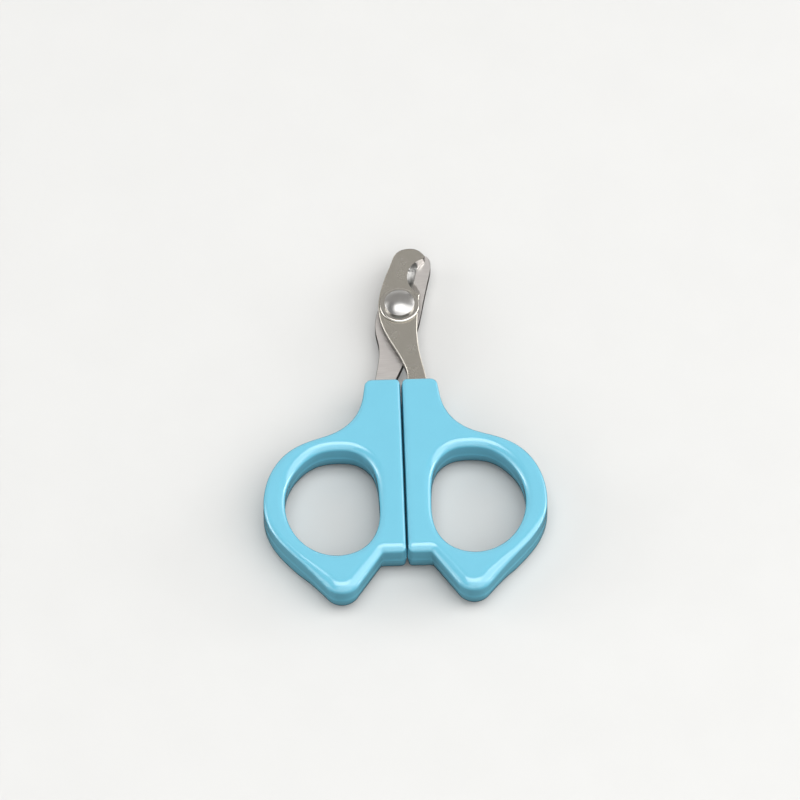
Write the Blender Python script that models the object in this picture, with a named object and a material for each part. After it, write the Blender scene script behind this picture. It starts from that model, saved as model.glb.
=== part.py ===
"""Small pet nail scissors: two half-moon blades on a domed rivet, with moulded finger-loop handles.

The model lies flat on its handles. +Y points to the blade noses, +Z points up along the pivot,
and the origin is the middle of the overall box, on the resting plane. It is shown closed.
Outlines are drawn in millimetres from a datum on the slit between the handles (X = 0), level
with the handles' blade-side ends (Y = 0). Objects are placed and meshed in metres.
"""

import math

import bmesh
import bpy
import numpy as np
from mathutils import Vector

MM = 0.001

# Driving dimensions, in millimetres.
HANDLE_THICK = 9.4
BLADE_THICK = 2.0
SLIT_HALF = 0.28  # half the gap between the closed handles
NOSE_TOP_Y = 35.6
LOOP_TIP_Y = -54.8
PIVOT = (0.4, 20.65)

# Fits.
RUNNING_GAP = 0.05  # between the blades, under the rivet's ends and round its shank
POCKET_GAP = 0.15  # between a tang and the plastic moulded round it

# Rivet and washer.
SHANK_RADIUS = 2.2
HEAD_RADIUS = 3.35
HEAD_RIM = 0.75
HEAD_DOME = 0.95
TAIL_RADIUS = 2.9
TAIL_RIM = 0.25
TAIL_DOME = 0.9
DOME_STEPS = 7
WASHER_RADIUS = 4.5
WASHER_THICK = 0.5
WASHER_EDGE = ((4.05, 0.5), (4.36, 0.42), (4.5, 0.18))  # radius and height along its rounded edge
ROUND_SIDES = 48

# Handle walls, in plan.
END_Y = 0.0
END_CORNER_X = 8.2
END_CORNER = 1.0
OUTER_CORNER = 1.7
NOTCH_Y = -44.7
NOTCH_BEND = (5.05, -45.5)
NOTCH_CORNER = 0.8
SLIT_CORNER = 1.1
SLIT_CORNER_TIGHT = 0.5  # the same corner on the flat top and bottom
TIP_CENTRE = (14.8, -50.2)
TIP_INNER_DEG = -147.5  # where the tip's round meets the straight wall to the notch
TIP_OUTER_DEG = -42.0  # where it meets the outer wall
HANDLE_STEP = 1.9  # spacing of points along the outer wall
SLIT_POINTS = 22
SLOPE_POINTS = 4
LOOP_STEP = 1.8

# Rounding of the handle's edges.
FINE_ROUND = 0.7  # along the slit and the blade-side end
SHOULDER_ROUND = 1.2
LOWER_ROUND = 1.5  # along the lower part of the outer wall
TIP_ROUND = 2.5
NOTCH_ROUND = 1.9
LOOP_ROUNDS = (1.4, 1.9)  # round the lower part of the finger hole, then the upper
ROUND_STEPS = 3
UNDER_DEEP = 2.2  # the roundings underneath are this much taller than they are wide
PARTING_HALF = 0.25  # half the height of the plain band at the parting line

# Blade edges.
CUTTING_LAND = 0.2  # height left below the ground crescent, at the cutting edge
BLADE_STEP = 1.1
CRESCENT_POINTS = 14

# Tang inside the handle.
TANG_TOP_X = (1.65, 5.95)
TANG_END = (3.55, -19.5)
TANG_END_RADIUS = 1.5
ANCHOR_HOLE = (3.7, -7.5)
ANCHOR_RADIUS = 1.3
POCKET_OVERRUN = 2.0  # how far the pocket's cutter passes the handle's end

BLUE = (0.16, 0.60, 0.78, 1.0)
STEEL = (0.46, 0.44, 0.43, 1.0)
BRIGHT_STEEL = (0.72, 0.71, 0.70, 1.0)

# Heights and places worked out from the sizes above.
MID_Z = HANDLE_THICK / 2
REAR_Z = (MID_Z - RUNNING_GAP / 2 - BLADE_THICK, MID_Z - RUNNING_GAP / 2)
FRONT_Z = (MID_Z + RUNNING_GAP / 2, MID_Z + RUNNING_GAP / 2 + BLADE_THICK)
HOLE_RADIUS = SHANK_RADIUS + RUNNING_GAP
TIP_RADIUS = TIP_CENTRE[1] - LOOP_TIP_Y
DATUM_Y = -(NOSE_TOP_Y + LOOP_TIP_Y) / 2  # carries the datum to the middle of the box


# ---------------------------------------------------------------- plan curves


def smooth(points, step, closed=False):
    """Points about step apart on the cubic spline through points; an open curve keeps its ends."""
    knots = np.array(points[-4:] + points + points[:5] if closed else points)
    first, last = (4, 4 + len(points)) if closed else (0, len(points) - 1)
    gaps = np.linalg.norm(np.diff(knots, axis=0), axis=1)
    stations = np.concatenate([[0], np.cumsum(gaps)])
    matrix = np.eye(len(knots))
    turning = np.zeros(knots.shape)
    for i in range(1, len(knots) - 1):
        matrix[i, i - 1 : i + 2] = gaps[i - 1], 2 * (gaps[i - 1] + gaps[i]), gaps[i]
        turning[i] = 6 * (
            (knots[i + 1] - knots[i]) / gaps[i] - (knots[i] - knots[i - 1]) / gaps[i - 1]
        )
    bends = np.linalg.solve(matrix, turning)
    at = np.linspace(stations[first], stations[last], 1500)
    span = np.clip(np.searchsorted(stations, at, side="right") - 1, 0, len(gaps) - 1)
    gap = gaps[span][:, None]
    back = (stations[span + 1] - at)[:, None]
    ahead = (at - stations[span])[:, None]
    fine = (
        (bends[span] * back**3 + bends[span + 1] * ahead**3) / (6 * gap)
        + (knots[span] / gap - bends[span] * gap / 6) * back
        + (knots[span + 1] / gap - bends[span + 1] * gap / 6) * ahead
    )
    along = np.concatenate([[0], np.cumsum(np.linalg.norm(np.diff(fine, axis=0), axis=1))])
    count = round(along[-1] / step)
    marks = np.linspace(0, along[-1], count + 1)[: count + (not closed)]
    return [tuple(float(np.interp(m, along, axis)) for axis in fine.T) for m in marks]


def line(start, end, count):
    """count points evenly spaced from start up to but not including end."""
    return [tuple(a + (b - a) * i / count for a, b in zip(start, end)) for i in range(count)]


def on_circle(centre, radius, degrees):
    turn = math.radians(degrees)
    return (centre[0] + radius * math.cos(turn), centre[1] + radius * math.sin(turn))


def arc(centre, radius, start, end, count):
    """count points on a circle, from one angle in degrees to another, both included."""
    return [on_circle(centre, radius, start + (end - start) * i / (count - 1)) for i in range(count)]


def circle(centre, radius):
    return arc(centre, radius, 0, 360, ROUND_SIDES + 1)[:-1]


def normals(outline, closed=True):
    """The outward normal at each point of an anticlockwise outline, long enough to keep corners."""
    found = []
    last = len(outline) - 1
    for i, here in enumerate(outline):
        before = Vector(here) - Vector(outline[i - 1])
        after = Vector(outline[(i + 1) % len(outline)]) - Vector(here)
        if not closed and i == 0:
            before = after
        if not closed and i == last:
            after = before
        normal_before = Vector((before.y, -before.x)).normalized()
        mean = (normal_before + Vector((after.y, -after.x)).normalized()).normalized()
        found.append(mean / mean.dot(normal_before))
    return found


def mirrored(outline):
    """The outline on the other side of the slit, still anticlockwise."""
    return [(-x, y) for x, y in reversed(outline)]


def at_height(z, outline):
    return [(x, y, z) for x, y in outline]


# ---------------------------------------------------------------- meshes


def lofted(name, stacks):
    """A closed mesh from stacks of rings, each from its lowest ring to its highest.

    The first stack is the outer wall and any others are holes; flat caps close both ends.
    """
    mesh = bpy.data.meshes.new(name)
    work = bmesh.new()
    cap_edges = ([], [])
    for stack in stacks:
        rings = [[work.verts.new(point) for point in ring] for ring in stack]
        for lower, upper in zip(rings, rings[1:]):
            for i in range(len(lower)):
                work.faces.new((lower[i - 1], lower[i], upper[i], upper[i - 1]))
        for edges, ring in zip(cap_edges, (rings[0], rings[-1])):
            edges += [work.edges.get((ring[i - 1], ring[i])) for i in range(len(ring))]
    for edges in cap_edges:
        bmesh.ops.triangle_fill(work, edges=edges, use_beauty=True)
    bmesh.ops.recalc_face_normals(work, faces=work.faces)
    work.to_mesh(mesh)
    work.free()
    return mesh


def turned(name, profile):
    """A closed mesh turned about Z from a closed or pole-to-pole profile of (radius, z) points."""
    mesh = bpy.data.meshes.new(name)
    work = bmesh.new()
    rings = []
    for radius, z in profile:
        outline = circle((0, 0), radius) if radius else [(0, 0)]
        rings.append([work.verts.new(point) for point in at_height(z, outline)])
    pairs = list(zip(rings, rings[1:]))
    if profile[0][0]:
        pairs.append((rings[-1], rings[0]))
    for upper, lower in pairs:
        for i in range(ROUND_SIDES):
            corners = [(upper, i), (lower, i), (lower, i + 1), (upper, i + 1)]
            work.faces.new(dict.fromkeys(ring[k % len(ring)] for ring, k in corners))
    bmesh.ops.recalc_face_normals(work, faces=work.faces)
    work.to_mesh(mesh)
    work.free()
    return mesh


def placed(name, mesh, material, half, centre=(0, 0), side=1):
    """Makes the object under the half that it belongs to, with its origin on the pivot's axis.

    centre is where the mesh's own X and Y start in the datum's frame, and side -1 mirrors it in X.
    """
    for vertex in mesh.vertices:
        vertex.co.x = (side * vertex.co.x + centre[0] - PIVOT[0]) * MM
        vertex.co.y = (vertex.co.y + centre[1] - PIVOT[1]) * MM
        vertex.co.z *= MM
    if side < 0:
        mesh.flip_normals()
    mesh.shade_smooth()
    mesh.set_sharp_from_angle(angle=math.radians(35))
    mesh.materials.append(material)
    made = bpy.data.objects.new(name, mesh)
    bpy.context.scene.collection.objects.link(made)
    made.parent = half
    return made


def material_of(name, colour, roughness, metallic):
    made = bpy.data.materials.new(name)
    made.use_nodes = True
    shader = made.node_tree.nodes["Principled BSDF"]
    shader.inputs["Base Color"].default_value = colour
    shader.inputs["Roughness"].default_value = roughness
    shader.inputs["Metallic"].default_value = metallic
    return made


# ---------------------------------------------------------------- blades


def tang_outline(grow=0.0, top_y=END_Y):
    """The right-hand tang below the handle's end, from the outer edge round to the inner one."""
    inner, outer = TANG_TOP_X
    end = arc(TANG_END, TANG_END_RADIUS + grow, 0, -180, 9)
    return [(outer + grow, top_y), *end, (inner - grow, top_y)]


def crescent(centre, radius, side, start_y, end_y):
    """Points on one side of a circle, from one height in the plan to another."""
    points = []
    for i in range(CRESCENT_POINTS):
        y = start_y + (end_y - start_y) * i / (CRESCENT_POINTS - 1)
        points.append((centre[0] + side * math.sqrt(radius**2 - (y - centre[1]) ** 2), y))
    return points


def front_rings():
    """The front blade, which the right handle carries. Its half-moon is ground from above."""
    back = smooth(
        [
            (1.60, 0.8),
            (1.50, 3.4),
            (0.60, 6.3),
            (-1.75, 11.1),
            (-3.75, 16.0),
            (-4.35, 20.4),
            (-3.65, 24.9),
            (-2.30, 29.0),
            (-1.00, 32.3),
            (0.00, 34.4),
            (2.60, NOSE_TOP_Y),
            (5.20, 35.0),
            (6.50, 33.5),
        ],
        BLADE_STEP,
    )
    belly = smooth(
        [(4.92, 23.3), (4.60, 20.2), (4.15, 13.8), (4.55, 8.4), (5.70, 2.3), (5.95, 0.8)], BLADE_STEP
    )
    edge = crescent((9.85, 28.45), 5.7, -1, 33.0, 25.3)
    bevel_top = crescent((7.3, 28.0), 4.95, -1, 32.75, 23.6)
    tang = tang_outline()
    lower = (back + edge + belly + tang)[::-1]
    upper = (back + bevel_top + belly + tang)[::-1]
    bottom, top = FRONT_Z
    return [at_height(bottom, lower), at_height(bottom + CUTTING_LAND, lower), at_height(top, upper)]


def rear_rings():
    """The rear blade, which the left handle carries. Its half-moon is ground from below."""
    belly = smooth(
        [
            (-5.95, 0.8),
            (-5.40, 3.9),
            (-4.65, 8.2),
            (-4.60, 11.8),
            (-5.12, 14.8),
            (-5.10, 18.0),
            (-4.25, 21.0),
            (-2.30, 24.2),
        ],
        BLADE_STEP,
    )
    back = smooth(
        [
            (0.30, 33.3),
            (1.20, 34.7),
            (3.60, 35.4),
            (6.20, 34.95),
            (7.45, 33.9),
            (7.75, 32.2),
            (7.20, 28.9),
            (6.02, 23.7),
            (4.85, 18.0),
            (3.50, 13.4),
            (1.60, 8.6),
            (0.15, 5.1),
            (-1.15, 2.2),
            (-1.58, 0.8),
        ],
        BLADE_STEP,
    )
    edge = crescent((-4.86, 29.24), 5.31, 1, 24.95, 32.2)
    bevel_top = crescent((-2.35, 28.8), 4.6, 1, 24.4, 32.4)
    tang = mirrored(tang_outline())
    upper = (belly + edge + back + tang)[::-1]
    lower = (belly + bevel_top + back + tang)[::-1]
    bottom, top = REAR_Z
    return [at_height(bottom, lower), at_height(top - CUTTING_LAND, upper), at_height(top, upper)]


def blade(name, rings, side, steel, half):
    """A blade with its rivet hole and, in the tang, the hole that the handle's plastic fills."""
    stacks = [rings]
    for centre, radius in ((PIVOT, HOLE_RADIUS), ((side * ANCHOR_HOLE[0], ANCHOR_HOLE[1]), ANCHOR_RADIUS)):
        stacks.append([at_height(ring[0][2], circle(centre, radius)) for ring in rings])
    return placed(name, lofted(name, stacks), steel, half)


# ---------------------------------------------------------------- handles


def blended(start, end, share):
    """From start to end as share goes from 0 to 1, level beyond both."""
    return start + (end - start) * min(1.0, max(0.0, share))


def outer_wall():
    """The outer wall from the tip up to the blade-side end, as (x, y, edge rounding) and normals."""
    points = smooth(
        [
            on_circle(TIP_CENTRE, TIP_RADIUS, TIP_OUTER_DEG),
            (23.30, -47.3),
            (28.55, -41.2),
            (31.35, -35.4),
            (31.75, -31.5),
            (31.15, -27.0),
            (29.30, -22.3),
            (25.30, -17.7),
            (20.40, -15.2),
            (15.20, -13.3),
            (11.00, -9.9),
            (9.00, -5.9),
            (8.35, -2.5),
        ],
        HANDLE_STEP,
    )
    rounds = []
    for _, y in points:
        lower = blended(LOWER_ROUND, SHOULDER_ROUND, (y + 44) / 14)
        to_tip = blended(lower, TIP_ROUND, (-46 - y) / 6)
        rounds.append(blended(FINE_ROUND, to_tip, (END_Y - y) / 9))
    return points, rounds, normals(points, closed=False)


def handle_ring(inset):
    """The right handle's wall, anticlockwise from the slit's top, as (x, y, edge rounding).

    inset is 0 where the wall is widest and 1 where its rounding meets the flat.
    """
    slit_x = SLIT_HALF + FINE_ROUND * inset
    notch_y = NOTCH_Y + NOTCH_ROUND * inset
    corner = SLIT_CORNER + (SLIT_CORNER_TIGHT - SLIT_CORNER) * inset
    slit_foot = (slit_x + corner, notch_y + corner)
    end_corner = END_CORNER - FINE_ROUND * inset
    slit_top = END_Y - END_CORNER
    bend = NOTCH_CORNER + NOTCH_ROUND * inset
    slope_deg = 180 + TIP_INNER_DEG  # of the bend's end, which faces the other way
    tip = TIP_RADIUS - TIP_ROUND * inset
    slope_top = on_circle(NOTCH_BEND, bend, slope_deg)
    slope_end = on_circle(TIP_CENTRE, tip, TIP_INNER_DEG)
    ring = []

    def add(points, start_round, end_round):
        for i, (x, y) in enumerate(points):
            ring.append((x, y, blended(start_round, end_round, i / max(1, len(points) - 1))))

    add(arc((SLIT_HALF + END_CORNER, slit_top), end_corner, 90, 180, 5), FINE_ROUND, FINE_ROUND)
    add(line((slit_x, slit_top), (slit_x, slit_foot[1]), SLIT_POINTS)[1:], FINE_ROUND, FINE_ROUND)
    add(arc(slit_foot, corner, 180, 270, 5), FINE_ROUND, NOTCH_ROUND)
    add(line((slit_foot[0], notch_y), (NOTCH_BEND[0], notch_y), 3)[1:], NOTCH_ROUND, NOTCH_ROUND)
    add(arc(NOTCH_BEND, bend, 90, slope_deg, 5), NOTCH_ROUND, NOTCH_ROUND)
    add(line(slope_top, slope_end, SLOPE_POINTS)[1:], NOTCH_ROUND, TIP_ROUND)
    add(arc(TIP_CENTRE, tip, TIP_INNER_DEG, TIP_OUTER_DEG, 11)[:-1], TIP_ROUND, TIP_ROUND)
    for (x, y), edge, normal in zip(*outer_wall()):
        ring.append((x - normal.x * edge * inset, y - normal.y * edge * inset, edge))
    outer_corner = (END_CORNER_X - OUTER_CORNER, END_Y - OUTER_CORNER)
    add(arc(outer_corner, OUTER_CORNER - FINE_ROUND * inset, 0, 90, 7), FINE_ROUND, FINE_ROUND)
    return ring


def loop_ring(inset):
    """The right handle's finger hole, anticlockwise, as (x, y, edge rounding)."""
    points = [
        (14.60, -17.75),
        (11.00, -18.3),
        (7.95, -20.8),
        (6.25, -25.25),
        (5.82, -31.0),
        (6.15, -37.4),
        (8.85, -42.6),
        (15.20, -45.2),
        (21.35, -43.35),
        (25.40, -38.65),
        (26.95, -32.2),
        (25.90, -26.05),
        (22.85, -21.2),
        (18.95, -18.4),
    ]
    wall = smooth(points, LOOP_STEP, closed=True)
    ring = []
    for (x, y), normal in zip(wall, normals(wall)):
        edge = blended(*LOOP_ROUNDS, (y + 38) / 14)
        ring.append((x + normal.x * edge * inset, y + normal.y * edge * inset, edge))
    return ring


def rounded_rings(ring_at):
    """The rings of a wall with rounded edges, from the lowest to the highest, where ring_at gives one."""
    turns = [math.pi / 2 * step / ROUND_STEPS for step in range(ROUND_STEPS + 1)]
    rings = []
    for rise, order, deep in ((-1, turns[::-1], UNDER_DEEP), (1, turns, 1.0)):
        for turn in order:
            drop = 1 - math.sin(turn)
            points = []
            for x, y, edge in ring_at(1 - math.cos(turn)):
                height = min(MID_Z - PARTING_HALF, deep * edge)
                points.append((x, y, MID_Z + rise * (MID_Z - height * drop)))
            rings.append(points)
    return rings


def pocket(blade_z):
    """The cutter for a tang's pocket: the tang grown by the gap, with its anchor hole shrunk."""
    tang = tang_outline(POCKET_GAP, END_Y + POCKET_OVERRUN)[::-1]
    peg = circle(ANCHOR_HOLE, ANCHOR_RADIUS - POCKET_GAP)
    heights = (blade_z[0] - POCKET_GAP, blade_z[1] + POCKET_GAP)
    return lofted("tang_pocket", [[at_height(z, ring) for z in heights] for ring in (tang, peg)])


def handle(name, side, blade_z, plastic, half):
    """A moulded handle, the right one for side 1 and the left for -1, with its tang's pocket."""
    walls = [rounded_rings(handle_ring), rounded_rings(loop_ring)]
    made = placed(name, lofted(name, walls), plastic, half, side=side)
    cutter = placed(f"{name}_pocket", pocket(blade_z), plastic, half, side=side)
    cutter.hide_render = True
    cutter.display_type = "WIRE"
    cut = made.modifiers.new("tang_pocket", "BOOLEAN")
    cut.operation = "DIFFERENCE"
    cut.solver = "EXACT"
    cut.object = cutter
    return made


# ---------------------------------------------------------------- rivet and washer


def dome(radius, rim, height, seat_z, up):
    """Profile of a rivet's end from its pole to its seat: part of a ball on a short rim."""
    ball = (radius**2 + height**2) / (2 * height)
    turns = [math.asin(radius / ball) * i / DOME_STEPS for i in range(1, DOME_STEPS + 1)]
    pole_z = seat_z + up * (rim + height)
    curve = [(ball * math.sin(t), pole_z - up * ball * (1 - math.cos(t))) for t in turns]
    return [(0.0, pole_z), *curve, (radius, seat_z)]


def rivet(steel, half):
    head_z = FRONT_Z[1] + WASHER_THICK + 2 * RUNNING_GAP
    tail_z = REAR_Z[0] - RUNNING_GAP
    head = dome(HEAD_RADIUS, HEAD_RIM, HEAD_DOME, head_z, 1)
    tail = dome(TAIL_RADIUS, TAIL_RIM, TAIL_DOME, tail_z, -1)
    profile = [*head, (SHANK_RADIUS, head_z), (SHANK_RADIUS, tail_z), *tail[::-1]]
    return placed("pivot_rivet", turned("pivot_rivet", profile), steel, half, centre=PIVOT)


def washer(steel, half):
    """The washer between the rivet's head and the front blade, with a rounded upper edge."""
    low_z = FRONT_Z[1] + RUNNING_GAP
    profile = [
        (HOLE_RADIUS, low_z + WASHER_THICK),
        *[(radius, low_z + height) for radius, height in WASHER_EDGE],
        (WASHER_RADIUS, low_z),
        (HOLE_RADIUS, low_z),
    ]
    return placed("head_washer", turned("head_washer", profile), steel, half, centre=PIVOT)


# ---------------------------------------------------------------- the scissors


def half_of(name):
    """An empty on the pivot's axis, which carries one half of the scissors."""
    made = bpy.data.objects.new(name, None)
    bpy.context.scene.collection.objects.link(made)
    made.location = (PIVOT[0] * MM, (PIVOT[1] + DATUM_Y) * MM, 0)
    return made


def main():
    for old in list(bpy.data.objects):
        bpy.data.objects.remove(old)
    plastic = material_of("blue_plastic", BLUE, 0.22, 0.0)
    satin = material_of("satin_steel", STEEL, 0.38, 1.0)
    polished = material_of("polished_steel", BRIGHT_STEEL, 0.18, 1.0)
    left = half_of("left_half")
    right = half_of("right_half")
    handle("left_handle", -1, REAR_Z, plastic, left)
    handle("right_handle", 1, FRONT_Z, plastic, right)
    blade("rear_blade", rear_rings(), -1, satin, left)
    blade("front_blade", front_rings(), 1, satin, right)
    rivet(polished, left)
    washer(polished, left)


main()
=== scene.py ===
"""Looks for the small pet nail scissors: fine meshes, procedural materials, light and camera.

Outlines are in millimetres from a datum on the slit between the handles, level with their
blade-side ends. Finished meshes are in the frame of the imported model, in metres.
"""

import math

import bmesh
import bpy
import numpy as np
from mathutils import Matrix, Vector


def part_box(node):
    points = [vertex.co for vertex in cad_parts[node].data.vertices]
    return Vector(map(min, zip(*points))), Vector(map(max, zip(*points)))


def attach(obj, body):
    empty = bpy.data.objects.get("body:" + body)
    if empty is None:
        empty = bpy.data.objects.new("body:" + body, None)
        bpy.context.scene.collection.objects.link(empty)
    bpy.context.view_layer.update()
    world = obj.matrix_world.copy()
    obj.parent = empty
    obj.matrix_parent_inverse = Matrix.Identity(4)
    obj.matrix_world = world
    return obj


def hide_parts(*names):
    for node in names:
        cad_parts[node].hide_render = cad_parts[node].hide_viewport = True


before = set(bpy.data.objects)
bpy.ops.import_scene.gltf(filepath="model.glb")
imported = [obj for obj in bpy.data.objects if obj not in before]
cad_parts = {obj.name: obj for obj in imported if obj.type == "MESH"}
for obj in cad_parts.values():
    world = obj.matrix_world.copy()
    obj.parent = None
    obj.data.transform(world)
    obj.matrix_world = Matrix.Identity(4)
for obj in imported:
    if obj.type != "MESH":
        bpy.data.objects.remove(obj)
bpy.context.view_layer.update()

MM = 0.001
SPLINE_STATIONS = 4000
MITRE_LIMIT = 0.4
SHARP_DEG = 32

# Plan sizes, in millimetres from the datum.
SLIT_HALF = 0.28
NOSE_TOP_Y = 35.6
LOOP_TIP_Y = -54.8
PIVOT = (0.4, 20.65)
END_Y = 0.0

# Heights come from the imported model.
BOX = {
    node: tuple(tuple(c / MM for c in corner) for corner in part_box(node))
    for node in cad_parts
}
TOP_Z = BOX["left_handle"][1][2]
MID_Z = TOP_Z / 2
REAR_Z = (BOX["rear_blade"][0][2], BOX["rear_blade"][1][2])
FRONT_Z = (BOX["front_blade"][0][2], BOX["front_blade"][1][2])
WASHER_Z = (BOX["head_washer"][0][2], BOX["head_washer"][1][2])
RIVET_Z = (BOX["pivot_rivet"][0][2], BOX["pivot_rivet"][1][2])
DATUM_Y = BOX["front_blade"][1][1] - NOSE_TOP_Y

# Handle walls and edges.
END_CORNER_X = 8.2
END_CORNER = 1.0
OUTER_CORNER = 1.7
NOTCH_Y = -44.7
NOTCH_BEND = (5.05, -45.5)
NOTCH_CORNER = 0.8
SLIT_CORNER = 1.1
SLIT_CORNER_TIGHT = 0.5
TIP_CENTRE = (14.8, -50.2)
TIP_RADIUS = TIP_CENTRE[1] - LOOP_TIP_Y
TIP_INNER_DEG = -147.5
TIP_OUTER_DEG = -42.0
WALL_STEP = 0.45

# Widths of the roundings along the handle's edges, and where along y they change.
FINE_ROUND = 0.7
SLIT_ROUND = 1.1
SHOULDER_ROUND = 1.2
LOWER_ROUND = 1.5
TIP_ROUND = 2.8
NOTCH_ROUND = 2.2
LOOP_ROUNDS = (1.5, 2.2)
FINE_TO_SHOULDER_Y = (END_Y, END_Y - 9)
LOWER_TO_SHOULDER_Y = (-44, -30)
LOWER_TO_TIP_Y = (-46, -52)
LOOP_ROUNDS_Y = (-38, -24)
OVER_DEEP = 0.64  # height of the upper roundings over their width
UNDER_DEEP = 2.2  # and of the lower ones
ROUND_STEPS = 12
CAP_SUPPORT = 0.06  # a ring this far inside each flat keeps its shading flat

# Parting line half way up a handle, and the slit's narrower part from there to SLIT_NEAR_TOP.
PARTING_PROUD = 0.03
PARTING_HALF = 0.12
PARTING_FLAT = 0.35  # share of the parting line's height that stands fully proud
PARTING_EASE = 0.05
SLIT_NEAR = 0.08
SLIT_NEAR_TOP = 7.6
SLIT_NEAR_RING = 1.2  # height above the middle at which the rest of that ring lies
SLIT_SIDE_X = 1.0  # the slit's side is the wall that is nearer to its middle than this
SLIT_SIDE_ABOVE = 0.2  # and at least this far above the notch
SLIT_SIDE_FADE = (0.02, 0.3)  # start and length of its fade into the rest of the wall

# Tang and its pocket.
TANG_TOP_X = (1.65, 5.95)
TANG_END = (3.55, -19.5)
TANG_END_RADIUS = 1.5
ANCHOR_HOLE = (3.7, -7.5)
ANCHOR_RADIUS = 1.3
POCKET_GAP = 0.15
POCKET_PAST_END = 2.0
PEG_SIDES = 48

# Blades.
TUMBLED, GROUND, HONED, SHEARED_SHADED = 0.0, 1.0, 2.0, 3.0  # kinds of steel surface; the shear-cut walls' dark tone is painted shade
BLADE_STEP = 0.4
HOLE_SIDES = 96
CRESCENT_POINTS = 44
CUTTING_LAND = 0.2  # height of the plain wall under the notch's ground bevel
BEVEL_STEPS = 9
BEVEL_LAST = 0.97  # share of the bevel below the rings of the outer edge
HOLLOW = -0.01  # share of its height by which the bevel dips; negative, it is faintly crowned
OUTER_EDGE = (0.19, 0.119)  # width and height of the bevelled edge round a blade's outer face
OUTER_EDGE_FADE = 1.4  # it narrows over this distance from the notch's ends
OUTER_EDGE_LEAST = 0.1
EDGE_STEPS = 4
INNER_EDGE = 0.07  # rounding round a blade's ground inner face
INNER_EDGE_TURNS = (math.pi / 2, math.pi / 4, 0.0)

# Rivet and washer. RIM_EASE has shares of the rim's height and how far in each lies.
HOLE_RADIUS = 2.25
SHANK_RADIUS = 2.2
HEAD_RADIUS = 3.35
HEAD_RIM = 0.75
TAIL_RADIUS = 2.9
TAIL_RIM = 0.25
RIM_EASE = ((0.06, 0.01), (0.15, 0.03), (0.35, 0.10), (0.6, 0.22), (0.8, 0.34), (1.0, 0.45))
DOME_STEPS = 40
SEAT_Z = (REAR_Z[0] - 0.05, WASHER_Z[1] + 0.05)
WASHER_RADIUS = 4.5
WASHER_ROUND = (0.45, 0.36)  # width and height of its rounded upper edge
WASHER_STEPS = 16
WASHER_EASE = 0.05
WASHER_SIDE = 0.03
TURN_SIDES = 144


# ---------------------------------------------------------------- plan curves


def smooth(points, step, closed=False):
    """Points about step apart on the cubic spline through points; an open curve keeps its ends."""
    knots = np.array(points[-4:] + points + points[:5] if closed else points)
    first, last = (4, 4 + len(points)) if closed else (0, len(points) - 1)
    gaps = np.linalg.norm(np.diff(knots, axis=0), axis=1)
    stations = np.concatenate([[0], np.cumsum(gaps)])
    matrix = np.eye(len(knots))
    turning = np.zeros(knots.shape)
    for i in range(1, len(knots) - 1):
        matrix[i, i - 1 : i + 2] = gaps[i - 1], 2 * (gaps[i - 1] + gaps[i]), gaps[i]
        onward, past = knots[i + 1] - knots[i], knots[i] - knots[i - 1]
        turning[i] = 6 * (onward / gaps[i] - past / gaps[i - 1])
    bends = np.linalg.solve(matrix, turning)
    at = np.linspace(stations[first], stations[last], SPLINE_STATIONS)
    span = np.clip(np.searchsorted(stations, at, side="right") - 1, 0, len(gaps) - 1)
    gap = gaps[span][:, None]
    back = (stations[span + 1] - at)[:, None]
    ahead = (at - stations[span])[:, None]
    fine = (
        (bends[span] * back**3 + bends[span + 1] * ahead**3) / (6 * gap)
        + (knots[span] / gap - bends[span] * gap / 6) * back
        + (knots[span + 1] / gap - bends[span + 1] * gap / 6) * ahead
    )
    along = np.concatenate([[0], np.cumsum(np.linalg.norm(np.diff(fine, axis=0), axis=1))])
    count = round(along[-1] / step)
    marks = np.linspace(0, along[-1], count + 1)[: count + (not closed)]
    return [tuple(float(np.interp(m, along, axis)) for axis in fine.T) for m in marks]


def line(start, end, count):
    return [tuple(a + (b - a) * i / count for a, b in zip(start, end)) for i in range(count)]


def on_circle(centre, radius, degrees):
    turn = math.radians(degrees)
    return (centre[0] + radius * math.cos(turn), centre[1] + radius * math.sin(turn))


def arc(centre, radius, start, end, count):
    turn = end - start
    return [on_circle(centre, radius, start + turn * i / (count - 1)) for i in range(count)]


def circle(centre, radius, sides=TURN_SIDES):
    return arc(centre, radius, 0, 360, sides + 1)[:-1]


def blended(start, end, share):
    """From start to end as share goes from 0 to 1, level beyond both."""
    return start + (end - start) * min(1.0, max(0.0, share))


def progress(value, start, end):
    """How far value has gone from start, where it is 0, to end, where it is 1."""
    return (value - start) / (end - start)


def normals(outline, closed=True):
    """The outward mitre at each point of an anticlockwise outline."""
    found = []
    last = len(outline) - 1
    for i, here in enumerate(outline):
        before = Vector(here) - Vector(outline[i - 1])
        after = Vector(outline[(i + 1) % len(outline)]) - Vector(here)
        if not closed and i == 0:
            before = after
        if not closed and i == last:
            after = before
        normal_before = Vector((before.y, -before.x)).normalized()
        mean = (normal_before + Vector((after.y, -after.x)).normalized()).normalized()
        found.append(mean / max(MITRE_LIMIT, mean.dot(normal_before)))
    return found


def mirrored(outline):
    return [(-x, y) for x, y in reversed(outline)]


# ---------------------------------------------------------------- mesh helpers


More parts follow.
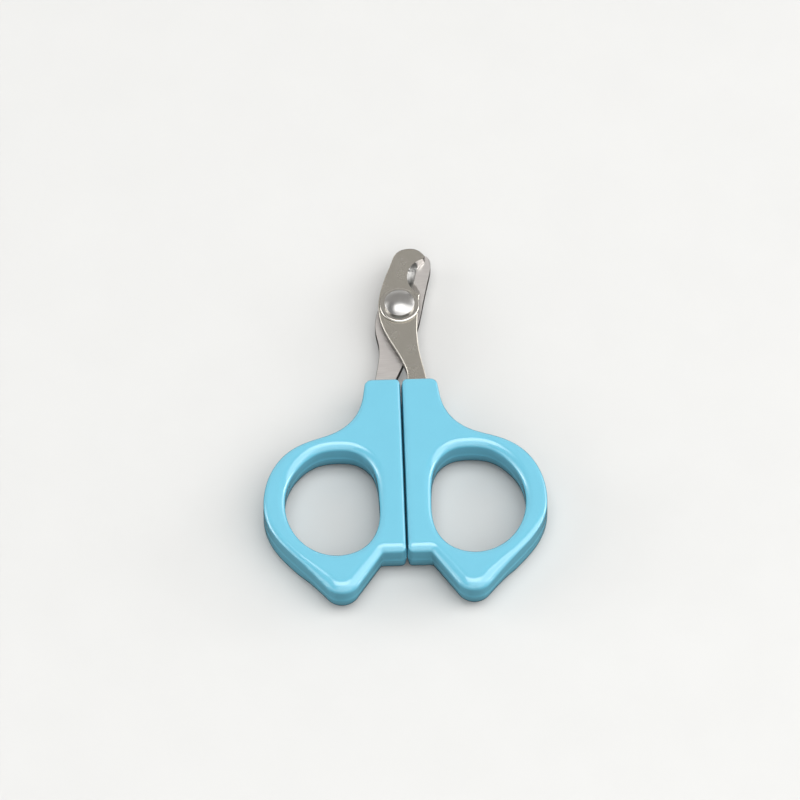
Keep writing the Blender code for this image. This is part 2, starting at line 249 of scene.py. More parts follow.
def lofted(name, stacks, marks=None):
    """A closed mesh from stacks of rings of (x, y, z), from lowest to highest, with flat caps.

    The first stack is the outer wall and the others are holes, whose walls take the shear-cut kind
    with its painted shade.
    marks gives the surface kind of the faces of the outer wall, ring by ring, and of the two caps,
    for the face attribute "finish_and_shade".
    """
    work = bmesh.new()
    finish_and_shade = work.faces.layers.float.new("finish_and_shade")
    caps = ([], [])
    for number, stack in enumerate(stacks):
        rings = [[work.verts.new(point) for point in ring] for ring in stack]
        for level, (lower, upper) in enumerate(zip(rings, rings[1:])):
            for i in range(len(lower)):
                face = work.faces.new((lower[i - 1], lower[i], upper[i], upper[i - 1]))
                if marks:
                    face[finish_and_shade] = marks["wall"][level][i] if number == 0 else SHEARED_SHADED
        for edges, ring in zip(caps, (rings[0], rings[-1])):
            edges += [work.edges.get((ring[i - 1], ring[i])) for i in range(len(ring))]
    for level, edges in enumerate(caps):
        filled = bmesh.ops.triangle_fill(work, edges=edges, use_beauty=True)["geom"]
        for face in filled:
            if isinstance(face, bmesh.types.BMFace):
                face[finish_and_shade] = marks["caps"][level] if marks else TUMBLED
    bmesh.ops.recalc_face_normals(work, faces=work.faces)
    mesh = bpy.data.meshes.new(name)
    work.to_mesh(mesh)
    work.free()
    return mesh


def turned(name, profile):
    """A closed mesh turned about Z from a closed or pole-to-pole profile of (radius, z) points."""
    work = bmesh.new()
    rings = []
    for radius, z in profile:
        outline = circle((0, 0), radius) if radius else [(0, 0)]
        rings.append([work.verts.new((x, y, z)) for x, y in outline])
    pairs = list(zip(rings, rings[1:]))
    if profile[0][0]:
        pairs.append((rings[-1], rings[0]))
    for upper, lower in pairs:
        for i in range(TURN_SIDES):
            corners = [(upper, i), (lower, i), (lower, i + 1), (upper, i + 1)]
            work.faces.new(dict.fromkeys(ring[k % len(ring)] for ring, k in corners))
    bmesh.ops.recalc_face_normals(work, faces=work.faces)
    mesh = bpy.data.meshes.new(name)
    work.to_mesh(mesh)
    work.free()
    return mesh


def to_frame(mesh, centre=(0, 0), side=1):
    """Carries a mesh from the datum, in millimetres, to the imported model's frame, in metres."""
    for vertex in mesh.vertices:
        vertex.co.x = (side * vertex.co.x + centre[0]) * MM
        vertex.co.y = (vertex.co.y + centre[1] + DATUM_Y) * MM
        vertex.co.z *= MM
    if side < 0:
        mesh.flip_normals()


def shown(name, mesh, material):
    mesh.shade_smooth()
    mesh.set_sharp_from_angle(angle=math.radians(SHARP_DEG))
    mesh.materials.clear()
    mesh.materials.append(material)
    made = bpy.data.objects.new(name, mesh)
    bpy.context.scene.collection.objects.link(made)
    return made


def cut(mesh, cutter_mesh):
    """The mesh with the cutter taken out of it."""
    scene = bpy.context.scene
    body = bpy.data.objects.new("cut_body", mesh)
    cutter = bpy.data.objects.new("cut_tool", cutter_mesh)
    for one in (body, cutter):
        scene.collection.objects.link(one)
    modifier = body.modifiers.new("cut", "BOOLEAN")
    modifier.operation = "DIFFERENCE"
    modifier.solver = "EXACT"
    modifier.object = cutter
    evaluated = body.evaluated_get(bpy.context.evaluated_depsgraph_get())
    result = bpy.data.meshes.new_from_object(evaluated)
    for one in (body, cutter):
        bpy.data.objects.remove(one)
    return result


# ---------------------------------------------------------------- handles


def outer_wall():
    """The outer wall from the tip up to the blade-side end: points, edge roundings and normals."""
    points = smooth(
        [
            on_circle(TIP_CENTRE, TIP_RADIUS, TIP_OUTER_DEG),
            (23.30, -47.3),
            (28.55, -41.2),
            (31.35, -35.4),
            (31.75, -31.5),
            (31.15, -27.0),
            (29.30, -22.3),
            (25.30, -17.7),
            (20.40, -15.2),
            (15.20, -13.3),
            (11.00, -9.9),
            (9.00, -5.9),
            (8.35, -2.5),
        ],
        WALL_STEP,
    )
    rounds = []
    for _, y in points:
        lower = blended(LOWER_ROUND, SHOULDER_ROUND, progress(y, *LOWER_TO_SHOULDER_Y))
        to_tip = blended(lower, TIP_ROUND, progress(y, *LOWER_TO_TIP_Y))
        rounds.append(blended(FINE_ROUND, to_tip, progress(y, *FINE_TO_SHOULDER_Y)))
    return points, rounds, normals(points, closed=False)


OUTER_WALL = outer_wall()

LOOP_WALL = smooth(
    [
        (14.60, -17.75),
        (11.00, -18.3),
        (7.95, -20.8),
        (6.25, -25.25),
        (5.82, -31.0),
        (6.15, -37.4),
        (8.85, -42.6),
        (15.20, -45.2),
        (21.35, -43.35),
        (25.40, -38.65),
        (26.95, -32.2),
        (25.90, -26.05),
        (22.85, -21.2),
        (18.95, -18.4),
    ],
    WALL_STEP,
    closed=True,
)


def handle_ring(inset):
    """The right handle's wall, anticlockwise from the slit's top, as (x, y, edge rounding).

    inset is 0 at the wall and 1 where the wall's rounding meets the flat.
    """
    slit_x = SLIT_HALF + SLIT_ROUND * inset
    notch_y = NOTCH_Y + NOTCH_ROUND * inset
    corner = SLIT_CORNER + (SLIT_CORNER_TIGHT - SLIT_CORNER) * inset
    slit_foot = (slit_x + corner, notch_y + corner)
    end_corner = END_CORNER - FINE_ROUND * inset
    slit_top = END_Y - END_CORNER
    bend = NOTCH_CORNER + NOTCH_ROUND * inset
    slope_deg = 180 + TIP_INNER_DEG
    tip = TIP_RADIUS - TIP_ROUND * inset
    slope_top = on_circle(NOTCH_BEND, bend, slope_deg)
    slope_end = on_circle(TIP_CENTRE, tip, TIP_INNER_DEG)
    ring = []

    def add(points, start_round, end_round):
        for i, (x, y) in enumerate(points):
            share = i / max(1, len(points) - 1)
            ring.append((x, y, blended(start_round, end_round, share)))

    add(arc((slit_x + end_corner, slit_top), end_corner, 90, 180, 12), FINE_ROUND, SLIT_ROUND)
    add(line((slit_x, slit_top), (slit_x, slit_foot[1]), 90)[1:], SLIT_ROUND, SLIT_ROUND)
    add(arc(slit_foot, corner, 180, 270, 12), SLIT_ROUND, NOTCH_ROUND)
    notch = line((slit_foot[0], notch_y), (NOTCH_BEND[0], notch_y), 9)
    add(notch[1:], NOTCH_ROUND, NOTCH_ROUND)
    add(arc(NOTCH_BEND, bend, 90, slope_deg, 12), NOTCH_ROUND, NOTCH_ROUND)
    add(line(slope_top, slope_end, 15)[1:], NOTCH_ROUND, TIP_ROUND)
    tip_arc = arc(TIP_CENTRE, tip, TIP_INNER_DEG, TIP_OUTER_DEG, 33)
    add(tip_arc[:-1], TIP_ROUND, TIP_ROUND)
    for (x, y), edge, normal in zip(*OUTER_WALL):
        ring.append((x - normal.x * edge * inset, y - normal.y * edge * inset, edge))
    outer_corner = (END_CORNER_X - OUTER_CORNER, END_Y - OUTER_CORNER)
    corner_arc = arc(outer_corner, OUTER_CORNER - FINE_ROUND * inset, 0, 90, 14)
    add(corner_arc, FINE_ROUND, FINE_ROUND)
    return ring


def loop_ring(inset):
    """The right handle's finger hole, anticlockwise, as (x, y, edge rounding)."""
    ring = []
    for (x, y), normal in zip(LOOP_WALL, normals(LOOP_WALL)):
        edge = blended(*LOOP_ROUNDS, progress(y, *LOOP_ROUNDS_Y))
        ring.append((x + normal.x * edge * inset, y + normal.y * edge * inset, edge))
    return ring


def grown(ring, distance):
    """A ring of (x, y, ...) moved outwards by a distance."""
    plan = [point[:2] for point in ring]
    return [
        (x + n.x * distance, y + n.y * distance, *point[2:])
        for (x, y), n, point in zip(plan, normals(plan), ring)
    ]


def nearer_slit(ring, z, slit_z=None):
    """A ring at height z with its slit side moved in to SLIT_NEAR and, if given, up to slit_z."""
    moved = []
    start, length = SLIT_SIDE_FADE
    for x, y, _ in ring:
        at_side = abs(x) < SLIT_SIDE_X and y > NOTCH_Y + SLIT_SIDE_ABOVE
        share = blended(1.0, 0.0, (x - SLIT_HALF - start) / length) if at_side else 0.0
        moved.append((x + (SLIT_NEAR - SLIT_HALF) * share, y, blended(z, slit_z or z, share)))
    return moved


def rounded_rings(ring_at, into_material):
    """The rings of a wall with rounded edges and a parting line, from lowest to highest.

    ring_at gives a ring at an inset from 0 to 1. into_material is 1 where growing a ring goes into
    the plastic, as at the finger hole, and -1 at the outer wall.
    """
    turns = [math.pi / 2 * step / ROUND_STEPS for step in range(ROUND_STEPS + 1)]
    rings = []
    flat = grown(ring_at(1.0), into_material * CAP_SUPPORT)
    rings.append([(x, y, 0.0) for x, y, _ in flat])
    for rise, order, deep in ((-1, turns[::-1], UNDER_DEEP), (1, turns, OVER_DEEP)):
        for turn in order:
            drop = 1 - math.sin(turn)
            ring = ring_at(1 - math.cos(turn))
            points = []
            for x, y, edge in ring:
                height = min(MID_Z - 2 * PARTING_HALF, deep * edge)
                points.append((x, y, MID_Z + rise * (MID_Z - height * drop)))
            rings.append(points)
        if rise < 0:
            wall = ring_at(0.0)
            rings.append(nearer_slit(wall, MID_Z - PARTING_HALF - PARTING_EASE))
            proud = grown(wall, -into_material * PARTING_PROUD)
            parting = ((wall, -1.0), (proud, -PARTING_FLAT), (proud, PARTING_FLAT), (wall, 1.0))
            for source, z in parting:
                rings.append(nearer_slit(source, MID_Z + z * PARTING_HALF))
            rings.append(nearer_slit(wall, MID_Z + SLIT_NEAR_RING, SLIT_NEAR_TOP))
    rings.append([(x, y, TOP_Z) for x, y, _ in flat])
    return rings


def tang_outline(grow=0.0, top_y=END_Y):
    """The tang's outline inside the handle, clockwise from its outer top corner."""
    inner, outer = TANG_TOP_X
    end = arc(TANG_END, TANG_END_RADIUS + grow, 0, -180, 33)
    return [(outer + grow, top_y), *end, (inner - grow, top_y)]


def pocket(blade_z):
    """The hollow round a tang, which leaves a peg of plastic through the tang's anchor hole."""
    tang = tang_outline(POCKET_GAP, END_Y + POCKET_PAST_END)[::-1]
    peg = circle(ANCHOR_HOLE, ANCHOR_RADIUS - POCKET_GAP, PEG_SIDES)
    heights = (blade_z[0] - POCKET_GAP, blade_z[1] + POCKET_GAP)
    stacks = [[[(x, y, z) for x, y in ring] for z in heights] for ring in (tang, peg)]
    return lofted("pocket", stacks)


def handle(name, side, blade_z, material):
    walls = [rounded_rings(handle_ring, -1), rounded_rings(loop_ring, 1)]
    mesh = cut(lofted(name, walls), pocket(blade_z))
    to_frame(mesh, side=side)
    return shown(name, mesh, material)


# ---------------------------------------------------------------- blades


def crescent(centre, radius, side, start_y, end_y):
    """An arc of a notch between two heights, on the given side of its centre."""
    points = []
    for i in range(CRESCENT_POINTS):
        y = start_y + (end_y - start_y) * i / (CRESCENT_POINTS - 1)
        points.append((centre[0] + side * math.sqrt(radius**2 - (y - centre[1]) ** 2), y))
    return points


def blade_stack(before, edge, bevel_top, after, tang, face_z, rise):
    """Rings of a blade and the kinds of surface of its walls, from its inner face to its outer
    one; the shear-cut walls carry painted shade.

    Its outline runs clockwise along before, edge, after and tang. edge is the notch's cutting edge
    and bevel_top the same notch at the outer face. face_z is the height of the inner face and
    rise, 1 or -1, points from it to the outer face.
    """
    plan = before + edge + after + tang
    top_plan = before + bevel_top + after + tang
    plain_after = len(after) + len(tang)
    kinds = ["wall"] * len(before) + ["bevel"] * len(edge) + ["wall"] * plain_after
    reach = []
    for i, (x, y) in enumerate(plan):
        to_bevel = min(math.dist((x, y), edge[0]), math.dist((x, y), edge[-1]))
        reach.append(0.0 if kinds[i] == "bevel" else min(1.0, to_bevel / OUTER_EDGE_FADE))
    mitre = [-n for n in normals(plan[::-1])][::-1]
    thick = FRONT_Z[1] - FRONT_Z[0]

    def ring(level_of):
        points = []
        for i in range(len(plan)):
            x, y, height = level_of(i)
            points.append((x, y, face_z + rise * height))
        return points

    def wall_at(i, inset, height):
        return plan[i][0] + mitre[i].x * inset, plan[i][1] + mitre[i].y * inset, height

    def bevel_at(i, share):
        (x, y), (top_x, top_y) = plan[i], top_plan[i]
        sag = 4 * HOLLOW * share * (1 - share)
        height = CUTTING_LAND + (thick - CUTTING_LAND) * (share - sag)
        return x + (top_x - x) * share, y + (top_y - y) * share, height

    rings, marks = [], []

    def add(level_of, finish_and_shade):
        """Adds a ring, and the surface kind of the plain wall between it and the next one; the
        shear-cut kind carries painted shade.
        """
        rings.append(ring(level_of))
        past_edge = len(rings) > len(INNER_EDGE_TURNS)
        honed = [past_edge and kinds[i] == kinds[i - 1] == "bevel" for i in range(len(plan))]
        marks.append([HONED if bevel else finish_and_shade for bevel in honed])

    add(lambda i: wall_at(i, INNER_EDGE + CAP_SUPPORT, 0.0), GROUND)
    # The inner rounding and the plain walls are shear-cut, darkened with painted shade.
    for turn in INNER_EDGE_TURNS:

        def level(i, t=turn):
            inset = INNER_EDGE * (1 - math.cos(t)) * (kinds[i] == "wall")
            return wall_at(i, inset, INNER_EDGE * (1 - math.sin(t)))

        add(level, SHEARED_SHADED)
    for step in range(BEVEL_STEPS + 1):

        def level(i, s=step / BEVEL_STEPS):
            if kinds[i] == "wall":
                climb = thick - OUTER_EDGE[1] - CUTTING_LAND
                return wall_at(i, 0.0, CUTTING_LAND + climb * s)
            return bevel_at(i, s * BEVEL_LAST)

        add(level, SHEARED_SHADED if step < BEVEL_STEPS else TUMBLED)
    for step in range(1, EDGE_STEPS + 1):

        def level(i, s=step / EDGE_STEPS):
            if kinds[i] == "wall":
                width, height = (size * max(OUTER_EDGE_LEAST, reach[i]) for size in OUTER_EDGE)
                start = thick - OUTER_EDGE[1]
                foot = blended(start, thick - height, s * EDGE_STEPS)
                across = blended(0.0, 1.0, (s * EDGE_STEPS - 1) / (EDGE_STEPS - 1))
                return wall_at(i, width * across, foot + (thick - foot) * across)
            return bevel_at(i, BEVEL_LAST + (1 - BEVEL_LAST) * s)

        add(level, TUMBLED)
    marks[-1] = [TUMBLED] * len(plan)
    flat = [point[:2] for point in rings[-1]]
    inward = [-n for n in normals(flat[::-1])][::-1]
    support = [(x + n.x * CAP_SUPPORT, y + n.y * CAP_SUPPORT) for (x, y), n in zip(flat, inward)]
    add(lambda i: (*support[i], thick), TUMBLED)
    return rings, marks


def blade(name, stack, marks, side, material):
    stacks = [stack]
    ends = (stack[0][0][2], stack[-1][0][2])
    anchor = (side * ANCHOR_HOLE[0], ANCHOR_HOLE[1])
    for centre, radius in ((PIVOT, HOLE_RADIUS), (anchor, ANCHOR_RADIUS)):
        hole = circle(centre, radius, HOLE_SIDES)
        stacks.append([[(x, y, z) for x, y in hole] for z in ends])
    mesh = lofted(name, stacks, marks)
    to_frame(mesh)
    return shown(name, mesh, material)


def front_blade(material):
    back = smooth(
        [
            (1.60, 0.8),
            (1.50, 3.4),
            (0.60, 6.3),
            (-1.75, 11.1),
            (-3.75, 16.0),
            (-4.35, 20.4),
            (-3.65, 24.9),
            (-2.30, 29.0),
            (-1.00, 32.3),
            (0.00, 34.4),
            (2.60, NOSE_TOP_Y),
            (5.20, 35.0),
            (6.50, 33.5),
        ],
        BLADE_STEP,
    )
    belly = smooth(
        [(4.92, 23.3), (4.60, 20.2), (4.15, 13.8), (4.55, 8.4), (5.70, 2.3), (5.95, 0.8)],
        BLADE_STEP,
    )
    edge = crescent((9.85, 28.45), 5.7, -1, 33.0, 25.3)
    bevel_top = crescent((7.3, 28.0), 4.95, -1, 32.75, 23.6)
    stack, marks = blade_stack(back, edge, bevel_top, belly, tang_outline(), FRONT_Z[0], 1)
    finish_and_shade = {"wall": marks, "caps": (GROUND, TUMBLED)}
    return blade("blade_front", stack, finish_and_shade, 1, material)


def rear_blade(material):
    belly = smooth(
        [
            (-5.95, 0.8),
            (-5.40, 3.9),
            (-4.65, 8.2),
            (-4.60, 11.8),
            (-5.12, 14.8),
            (-5.10, 18.0),
            (-4.25, 21.0),
            (-2.30, 24.2),
        ],
        BLADE_STEP,
    )
    back = smooth(
        [
            (0.30, 33.3),
            (1.20, 34.7),
            (3.60, 35.4),
            (6.20, 34.95),
            (7.45, 33.9),
            (7.75, 32.2),
            (7.20, 28.9),
            (6.02, 23.7),
            (4.85, 18.0),
            (3.50, 13.4),
            (1.60, 8.6),
            (0.15, 5.1),
            (-1.15, 2.2),
            (-1.58, 0.8),
        ],
        BLADE_STEP,
    )
    edge = crescent((-4.86, 29.24), 5.31, 1, 24.95, 32.2)
    bevel_top = crescent((-2.35, 28.8), 4.6, 1, 24.4, 32.4)
    tang = mirrored(tang_outline())
    stack, marks = blade_stack(belly, edge, bevel_top, back, tang, REAR_Z[1], -1)
    finish_and_shade = {"wall": marks[-2::-1], "caps": (TUMBLED, GROUND)}
    return blade("blade_rear", stack[::-1], finish_and_shade, -1, material)


# ---------------------------------------------------------------- rivet and washer


def dome(radius, rim, pole_z, seat_z):
    """Profile of a rivet's end from its pole to its seat: part of a ball on a short, eased rim."""
    up = 1 if pole_z > seat_z else -1
    height = abs(pole_z - seat_z) - rim
    ball = (radius**2 + height**2) / (2 * height)
    reach = math.asin(radius / ball)
    curve = []
    for i in range(1, DOME_STEPS + 1):
        turn = reach * i / (DOME_STEPS + 1)
        curve.append((ball * math.sin(turn), pole_z - up * ball * (1 - math.cos(turn))))
    rim_z = curve[-1][1]
    fall = abs(rim_z - seat_z)
    edge = [(radius - tuck, rim_z - up * fall * share) for share, tuck in RIM_EASE]
    return [(0.0, pole_z), *curve, *edge]


def rivet(material):
    tail_z, head_z = SEAT_Z
    head = dome(HEAD_RADIUS, HEAD_RIM, RIVET_Z[1], head_z)
    tail = dome(TAIL_RADIUS, TAIL_RIM, RIVET_Z[0], tail_z)
    shank = [(SHANK_RADIUS, head_z), (SHANK_RADIUS, tail_z)]
    mesh = turned("rivet_domed", [*head, *shank, *tail[::-1]])
    to_frame(mesh, centre=PIVOT)
    return shown("rivet_domed", mesh, material)


def washer(material):
    low, high = WASHER_Z
    width, height = WASHER_ROUND
    top = [(HOLE_RADIUS, high), (WASHER_RADIUS - width - WASHER_EASE, high)]
    rounding = []
    for i in range(WASHER_STEPS + 1):
        turn = math.pi / 2 * i / WASHER_STEPS
        x = WASHER_RADIUS - width * (1 - math.sin(turn))
        rounding.append((x, high - height * (1 - math.cos(turn))))
    side = [(WASHER_RADIUS, low + WASHER_SIDE), (WASHER_RADIUS - WASHER_EASE, low)]
    mesh = turned("washer_dished", [*top, *rounding, *side, (HOLE_RADIUS, low)])
    to_frame(mesh, centre=PIVOT)
    return shown("washer_dished", mesh, material)


# ---------------------------------------------------------------- materials


PLASTIC_TONES = ((0.132, 0.432, 0.566, 1), (0.138, 0.448, 0.582, 1))
PLASTIC_SPECK = (0.150, 0.468, 0.604, 1)
TUMBLED_TONES = ((0.515, 0.488, 0.432, 1), (0.545, 0.518, 0.462, 1))
GROUND_TONES = ((0.665, 0.630, 0.605, 1), (0.742, 0.707, 0.682, 1))
HONED_TONES = ((0.42, 0.41, 0.39, 1), (0.66, 0.65, 0.63, 1))
# Shear-cut walls: rough edges, made this dark as painted shade.
SHEARED_EDGE_SHADE_TONE = (0.17, 0.163, 0.15, 1)
RIVET_TONES = ((0.425, 0.417, 0.404, 1), (0.45, 0.442, 0.428, 1))
WASHER_TONES = ((0.52, 0.495, 0.45, 1), (0.56, 0.535, 0.49, 1))
FLOOR_TONES = ((0.600, 0.598, 0.586, 1), (0.610, 0.608, 0.596, 1))
BOUNCE_TONES = ((0.125, 0.127, 0.12, 1), (0.135, 0.137, 0.13, 1))
GRIND_DEG = 28  # direction of the grinding lines on the blades' flat faces
HONE_DEG = 40  # and on the notches' bevels


class Nodes:
    """A material's node tree, with its Principled shader's constants set on their own sockets."""

    def __init__(self, name, **constants):
        self.material = bpy.data.materials.new(name)
        self.material.use_nodes = True
        self.tree = self.material.node_tree
        self.shader = self.tree.nodes["Principled BSDF"]
        for socket, value in constants.items():
            self.shader.inputs[socket.replace("_", " ")].default_value = value
        self.place = self.add("ShaderNodeTexCoord").outputs["Object"]

    def add(self, kind, links=(), **settings):
        made = self.tree.nodes.new(kind)
        for key, value in settings.items():
            setattr(made, key, value)
        for socket, source in dict(links).items():
            self.tree.links.new(source, made.inputs[socket])
        return made

    def put(self, socket, value):
        """Links a node's output to a socket, or sets a plain number or colour on it."""
        if isinstance(value, (int, float, tuple)):
            socket.default_value = value
        else:
            self.tree.links.new(value, socket)

    def stretched(self, scale, turn):
        made = self.add("ShaderNodeMapping", {"Vector": self.place})
        made.inputs["Scale"].default_value = scale
        made.inputs["Rotation"].default_value = (0, 0, math.radians(turn))
        return made.outputs["Vector"]

    def noise(self, scale, detail=2.0, rough=0.5, where=None):
        made = self.add("ShaderNodeTexNoise", {"Vector": where or self.place})
        made.inputs["Scale"].default_value = scale
        made.inputs["Detail"].default_value = detail
        made.inputs["Roughness"].default_value = rough
        return made.outputs["Fac"]

    def ranged(self, value, low, high, to_low, to_high):
        made = self.add("ShaderNodeMapRange", {"Value": value})
        made.inputs["From Min"].default_value = low
        made.inputs["From Max"].default_value = high
        made.inputs["To Min"].default_value = to_low
        made.inputs["To Max"].default_value = to_high
        return made.outputs["Result"]

    def mixed(self, share, first, second):
        """A mix of two colours; inputs 6 and 7 and output 2 are the mix node's colour sockets."""
        made = self.add("ShaderNodeMix", data_type="RGBA")
        for socket, colour in zip((made.inputs[6], made.inputs[7]), (first, second)):
            self.put(socket, colour)
        self.put(made.inputs[0], share)
        return made.outputs[2]

    def blend(self, share, first, second):
        """A mix of two numbers."""
        made = self.add("ShaderNodeMix", data_type="FLOAT")
        sockets = (made.inputs[0], made.inputs[2], made.inputs[3])
        for socket, value in zip(sockets, (share, first, second)):
            self.put(socket, value)
        return made.outputs[0]

    def maths(self, operation, first, second, third=None):
        made = self.add("ShaderNodeMath", operation=operation)
        for socket, value in zip(made.inputs, (first, second, third)):
            if value is not None:
                self.put(socket, value)
        return made.outputs["Value"]

    def bump(self, height, distance, strength):
        made = self.add("ShaderNodeBump", {"Height": height})
        made.inputs["Distance"].default_value = distance
        made.inputs["Strength"].default_value = strength
        return made.outputs["Normal"]

    def to_shader(self, **sources):
        for socket, source in sources.items():
            self.tree.links.new(source, self.shader.inputs[socket.replace("_", " ")])
        return self.material


def plastic():
    """Glossy moulded plastic: faint colour drift and a very slight, even waviness."""
    coat = {"Coat_Weight": 1.0, "Coat_Roughness": 0.1, "Coat_IOR": 1.5}
    n = Nodes("moulded_blue_plastic", IOR=1.5, **coat)
    drift = n.noise(110, 3.0, 0.55)
    grain = n.noise(2600, 2.0, 0.6)
    base = n.mixed(n.ranged(drift, 0.3, 0.7, 0, 1), *PLASTIC_TONES)
    speck = n.mixed(n.ranged(grain, 0.35, 0.75, 0, 0.25), base, PLASTIC_SPECK)
    rough = n.ranged(n.noise(520, 3.0, 0.6), 0.3, 0.7, 0.20, 0.27)
    peel = n.bump(n.noise(560, 2.0, 0.5), 0.000004, 0.4)
    return n.to_shader(Base_Color=speck, Roughness=rough, Normal=peel)


def blade_steel():
    """Stainless steel, tumbled, ground, honed or shear-cut as the face attribute
    "finish_and_shade" says; the shear-cut walls' dark colour is painted shade.
    """
    n = Nodes("blade_stainless", Metallic=1.0)
    finish_and_shade = n.add("ShaderNodeAttribute", attribute_name="finish_and_shade").outputs["Fac"]
    kinds = (GROUND, HONED, SHEARED_SHADED)
    ground, honed, sheared_shade_mask = (n.maths("COMPARE", finish_and_shade, kind, 0.25) for kind in kinds)
    mottle = n.noise(1700, 2.0, 0.5)
    cloud = n.noise(330, 3.0, 0.6)
    tumbled = n.mixed(n.ranged(mottle, 0.35, 0.65, 0, 1), *TUMBLED_TONES)
    lines = n.noise(900, 3.0, 0.6, where=n.stretched((0.30, 5.5, 1.0), GRIND_DEG))
    fresh = n.mixed(n.ranged(lines, 0.3, 0.7, 0, 1), *GROUND_TONES)
    hone = n.noise(1400, 2.0, 0.5, where=n.stretched((4.0, 0.5, 1.0), HONE_DEG))
    bright = n.mixed(n.ranged(hone, 0.3, 0.7, 0, 1), *HONED_TONES)
    colour = n.mixed(ground, tumbled, fresh)
    colour = n.mixed(honed, colour, bright)
    # the shear-cut walls' dark colour is painted shade
    colour = n.mixed(sheared_shade_mask, colour, SHEARED_EDGE_SHADE_TONE)
    rough = n.ranged(cloud, 0.35, 0.65, 0.255, 0.275)
    rough = n.blend(ground, rough, n.ranged(lines, 0.3, 0.7, 0.30, 0.40))
    rough = n.blend(honed, rough, n.ranged(hone, 0.3, 0.7, 0.10, 0.17))
    rough = n.blend(sheared_shade_mask, rough, 0.42)
    streaks = n.noise(1500, 2.0, 0.5, where=n.stretched((0.25, 6.0, 1.0), GRIND_DEG))
    grind = n.bump(n.maths("MULTIPLY", streaks, ground), 0.000006, 0.5)
    return n.to_shader(Base_Color=colour, Roughness=rough, Normal=grind)


def rivet_steel():
    """Satin steel of the rivet's heads, with faint dents."""
    n = Nodes("rivet_bright_steel", Metallic=1.0)
    cloud = n.noise(700, 3.0, 0.6)
    base = n.mixed(n.ranged(cloud, 0.3, 0.7, 0, 1), *RIVET_TONES)
    rough = n.ranged(n.noise(1500, 3.0, 0.6), 0.3, 0.7, 0.28, 0.31)
    dents = n.bump(n.noise(300, 0.0, 0.5), 0.00001, 0.4)
    return n.to_shader(Base_Color=base, Roughness=rough, Normal=dents)


def washer_steel():
    """The washer's plainer steel, close to the blades' outside."""
    n = Nodes("washer_steel", Metallic=1.0)
    cloud = n.noise(900, 3.0, 0.6)
    base = n.mixed(n.ranged(cloud, 0.3, 0.7, 0, 1), *WASHER_TONES)
    rough = n.ranged(n.noise(2100, 2.0, 0.5), 0.3, 0.7, 0.20, 0.25)
    return n.to_shader(Base_Color=base, Roughness=rough, Normal=n.bump(cloud, 0.000002, 0.3))


# ---------------------------------------------------------------- studio


# Where the view's middle lies, the view's angles and the size of a pixel of the 800 x 800 frame.
TARGET = Vector((-0.16 * MM, DATUM_Y * MM, 0))
VIEW_TILT_DEG = 31
VIEW_TURN_DEG = 1.9
FRAME_PIXELS = 800
PIXEL_MM = 0.2244
LENS = 1300
SENSOR = 36

# Soft boxes: degrees from overhead toward the camera and to the right, degrees tall and wide as
# seen from the object, and radiance.
PANEL_DISTANCE = 1.6
PANELS = {
    "key_softbox": (3, 22, 34, 86, 2.5),
    "key_core": (-3, 0, 25, 36, 1.9),
    "key_low": (36, 22, 32, 86, 1.4),
    "key_front": (66, 0, 24, 84, 1.4),
    "back_card": (-55, 0, 56, 110, 0.44),
    "left_card": (12, -61, 70, 22, 1.5),
    "right_card": (18, 80, 80, 14, 1.4),
    "left_low": (33, -82, 60, 16, 6.0),
    "right_low": (33, 83, 60, 14, 5.5),
    "side_card": (-72, 60, 40, 36, 1.3),
    "back_low": (-84, -10, 10, 70, 1.2),
}
PANEL_TINTS = {"back_card": (1.0, 0.97, 0.93)}
SKY = (0.92, 0.96, 1.0, 1)
SKY_STRENGTH = 0.10
FLOOR_HALF = 3.0
BOUNCE_Z = -0.0002


def panel(name, toward_camera, to_right, tall, wide, radiance):
    """A soft box at these angles, in degrees, and hidden from the camera."""
    y, x = math.radians(toward_camera), math.radians(to_right)
    back = Vector((math.sin(x), -math.cos(x) * math.sin(y), math.cos(x) * math.cos(y)))
    across = Vector((math.cos(x), math.sin(x) * math.sin(y), -math.sin(x) * math.cos(y)))
    light = bpy.data.lights.new(name, "AREA")
    light.shape = "RECTANGLE"
    light.size = 2 * PANEL_DISTANCE * math.tan(math.radians(wide / 2))
    light.size_y = 2 * PANEL_DISTANCE * math.tan(math.radians(tall / 2))
    light.energy = radiance * math.pi * light.size * light.size_y
    light.color = PANEL_TINTS.get(name, (1, 1, 1))
    made = bpy.data.objects.new(name, light)
    turn = Matrix((across, back.cross(across), back)).transposed().to_4x4()
    made.matrix_world = Matrix.Translation(TARGET + back * PANEL_DISTANCE) @ turn
    made.visible_camera = False
    bpy.context.scene.collection.objects.link(made)


def ground_plane(name, z, tones):
    mesh = bpy.data.meshes.new(name)
    signs = ((-1, -1), (1, -1), (1, 1), (-1, 1))
    corners = [(x * FLOOR_HALF, y * FLOOR_HALF, z) for x, y in signs]
    mesh.from_pydata(corners, [], [(0, 1, 2, 3)])
    n = Nodes(name, IOR=1.4)
    tone = n.mixed(n.ranged(n.noise(60, 3.0, 0.5), 0.3, 0.7, 0, 1), *tones)
    rough = n.ranged(n.noise(300), 0.3, 0.7, 0.6, 0.7)
    mesh.materials.append(n.to_shader(Base_Color=tone, Roughness=rough))
    made = bpy.data.objects.new(name, mesh)
    bpy.context.scene.collection.objects.link(made)
    return made


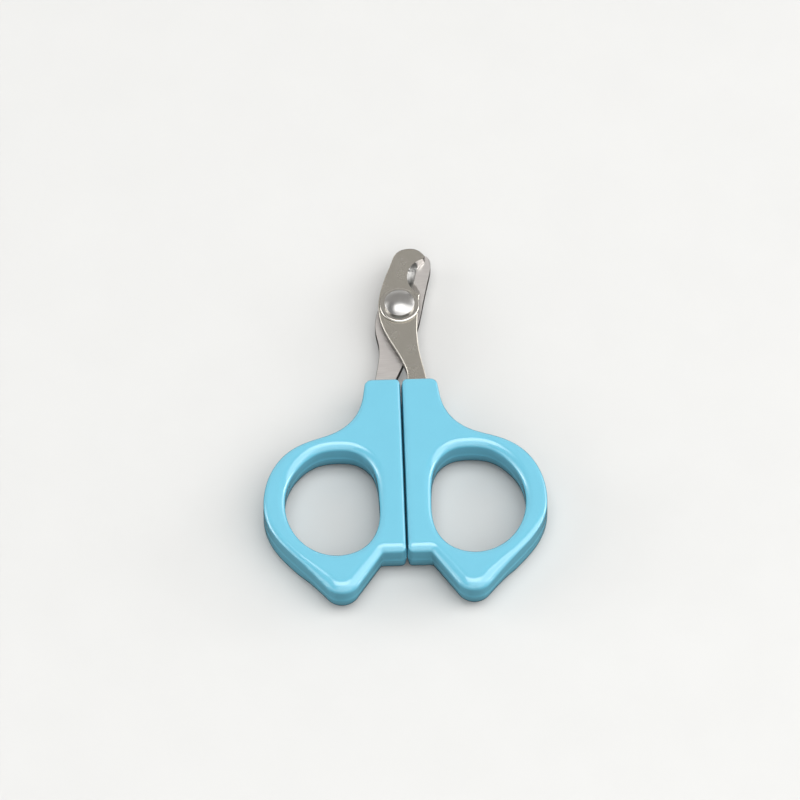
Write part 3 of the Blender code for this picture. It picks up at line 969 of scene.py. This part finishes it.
def studio():
    """Lights, sky and floor: the camera sees one floor and other rays a darker one under it."""
    for name, sizes in PANELS.items():
        panel(name, *sizes)

    world = bpy.data.worlds.new("studio")
    bpy.context.scene.world = world
    world.use_nodes = True
    background = world.node_tree.nodes["Background"]
    background.inputs["Color"].default_value = SKY
    background.inputs["Strength"].default_value = SKY_STRENGTH

    seen = ground_plane("floor", 0.0, FLOOR_TONES)
    seen.visible_diffuse = False
    seen.visible_glossy = False
    bounce = ground_plane("floor_under", BOUNCE_Z, BOUNCE_TONES)
    bounce.visible_camera = False
    bpy.context.scene.view_settings.view_transform = "Standard"


def camera():
    """The photograph's view: 31 degrees off the vertical, a little turned, with a long lens."""
    tilt, turn = math.radians(VIEW_TILT_DEG), math.radians(VIEW_TURN_DEG)
    frame_width = FRAME_PIXELS * PIXEL_MM * MM
    data = bpy.data.cameras.new("photo_view")
    data.sensor_width = SENSOR
    data.lens = LENS
    distance = frame_width * data.lens / data.sensor_width
    right = Vector((math.cos(turn), -math.sin(turn), 0))
    back = Vector(
        (-math.sin(turn) * math.sin(tilt), -math.cos(turn) * math.sin(tilt), math.cos(tilt))
    )
    data.clip_end = distance * 4
    made = bpy.data.objects.new("photo_view", data)
    turned_by = Matrix((right, back.cross(right), back)).transposed().to_4x4()
    made.matrix_world = Matrix.Translation(TARGET + back * distance) @ turned_by
    bpy.context.scene.collection.objects.link(made)
    bpy.context.scene.camera = made


def main():
    camera()
    studio()
    blue, steel, bright, dished = plastic(), blade_steel(), rivet_steel(), washer_steel()
    pieces = (
        (handle("handle_left", -1, REAR_Z, blue), "left_half", "left_handle", "handle_plastic"),
        (handle("handle_right", 1, FRONT_Z, blue), "right_half", "right_handle", "handle_plastic"),
        (rear_blade(steel), "left_half", "rear_blade", "blade_steel"),
        (front_blade(steel), "right_half", "front_blade", "blade_steel"),
        (rivet(bright), "left_half", "pivot_rivet", "rivet_steel"),
        (washer(dished), "left_half", "head_washer", "rivet_steel"),
    )
    for piece, body, node, slot in pieces:
        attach(piece, body)
        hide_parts(node)


main()
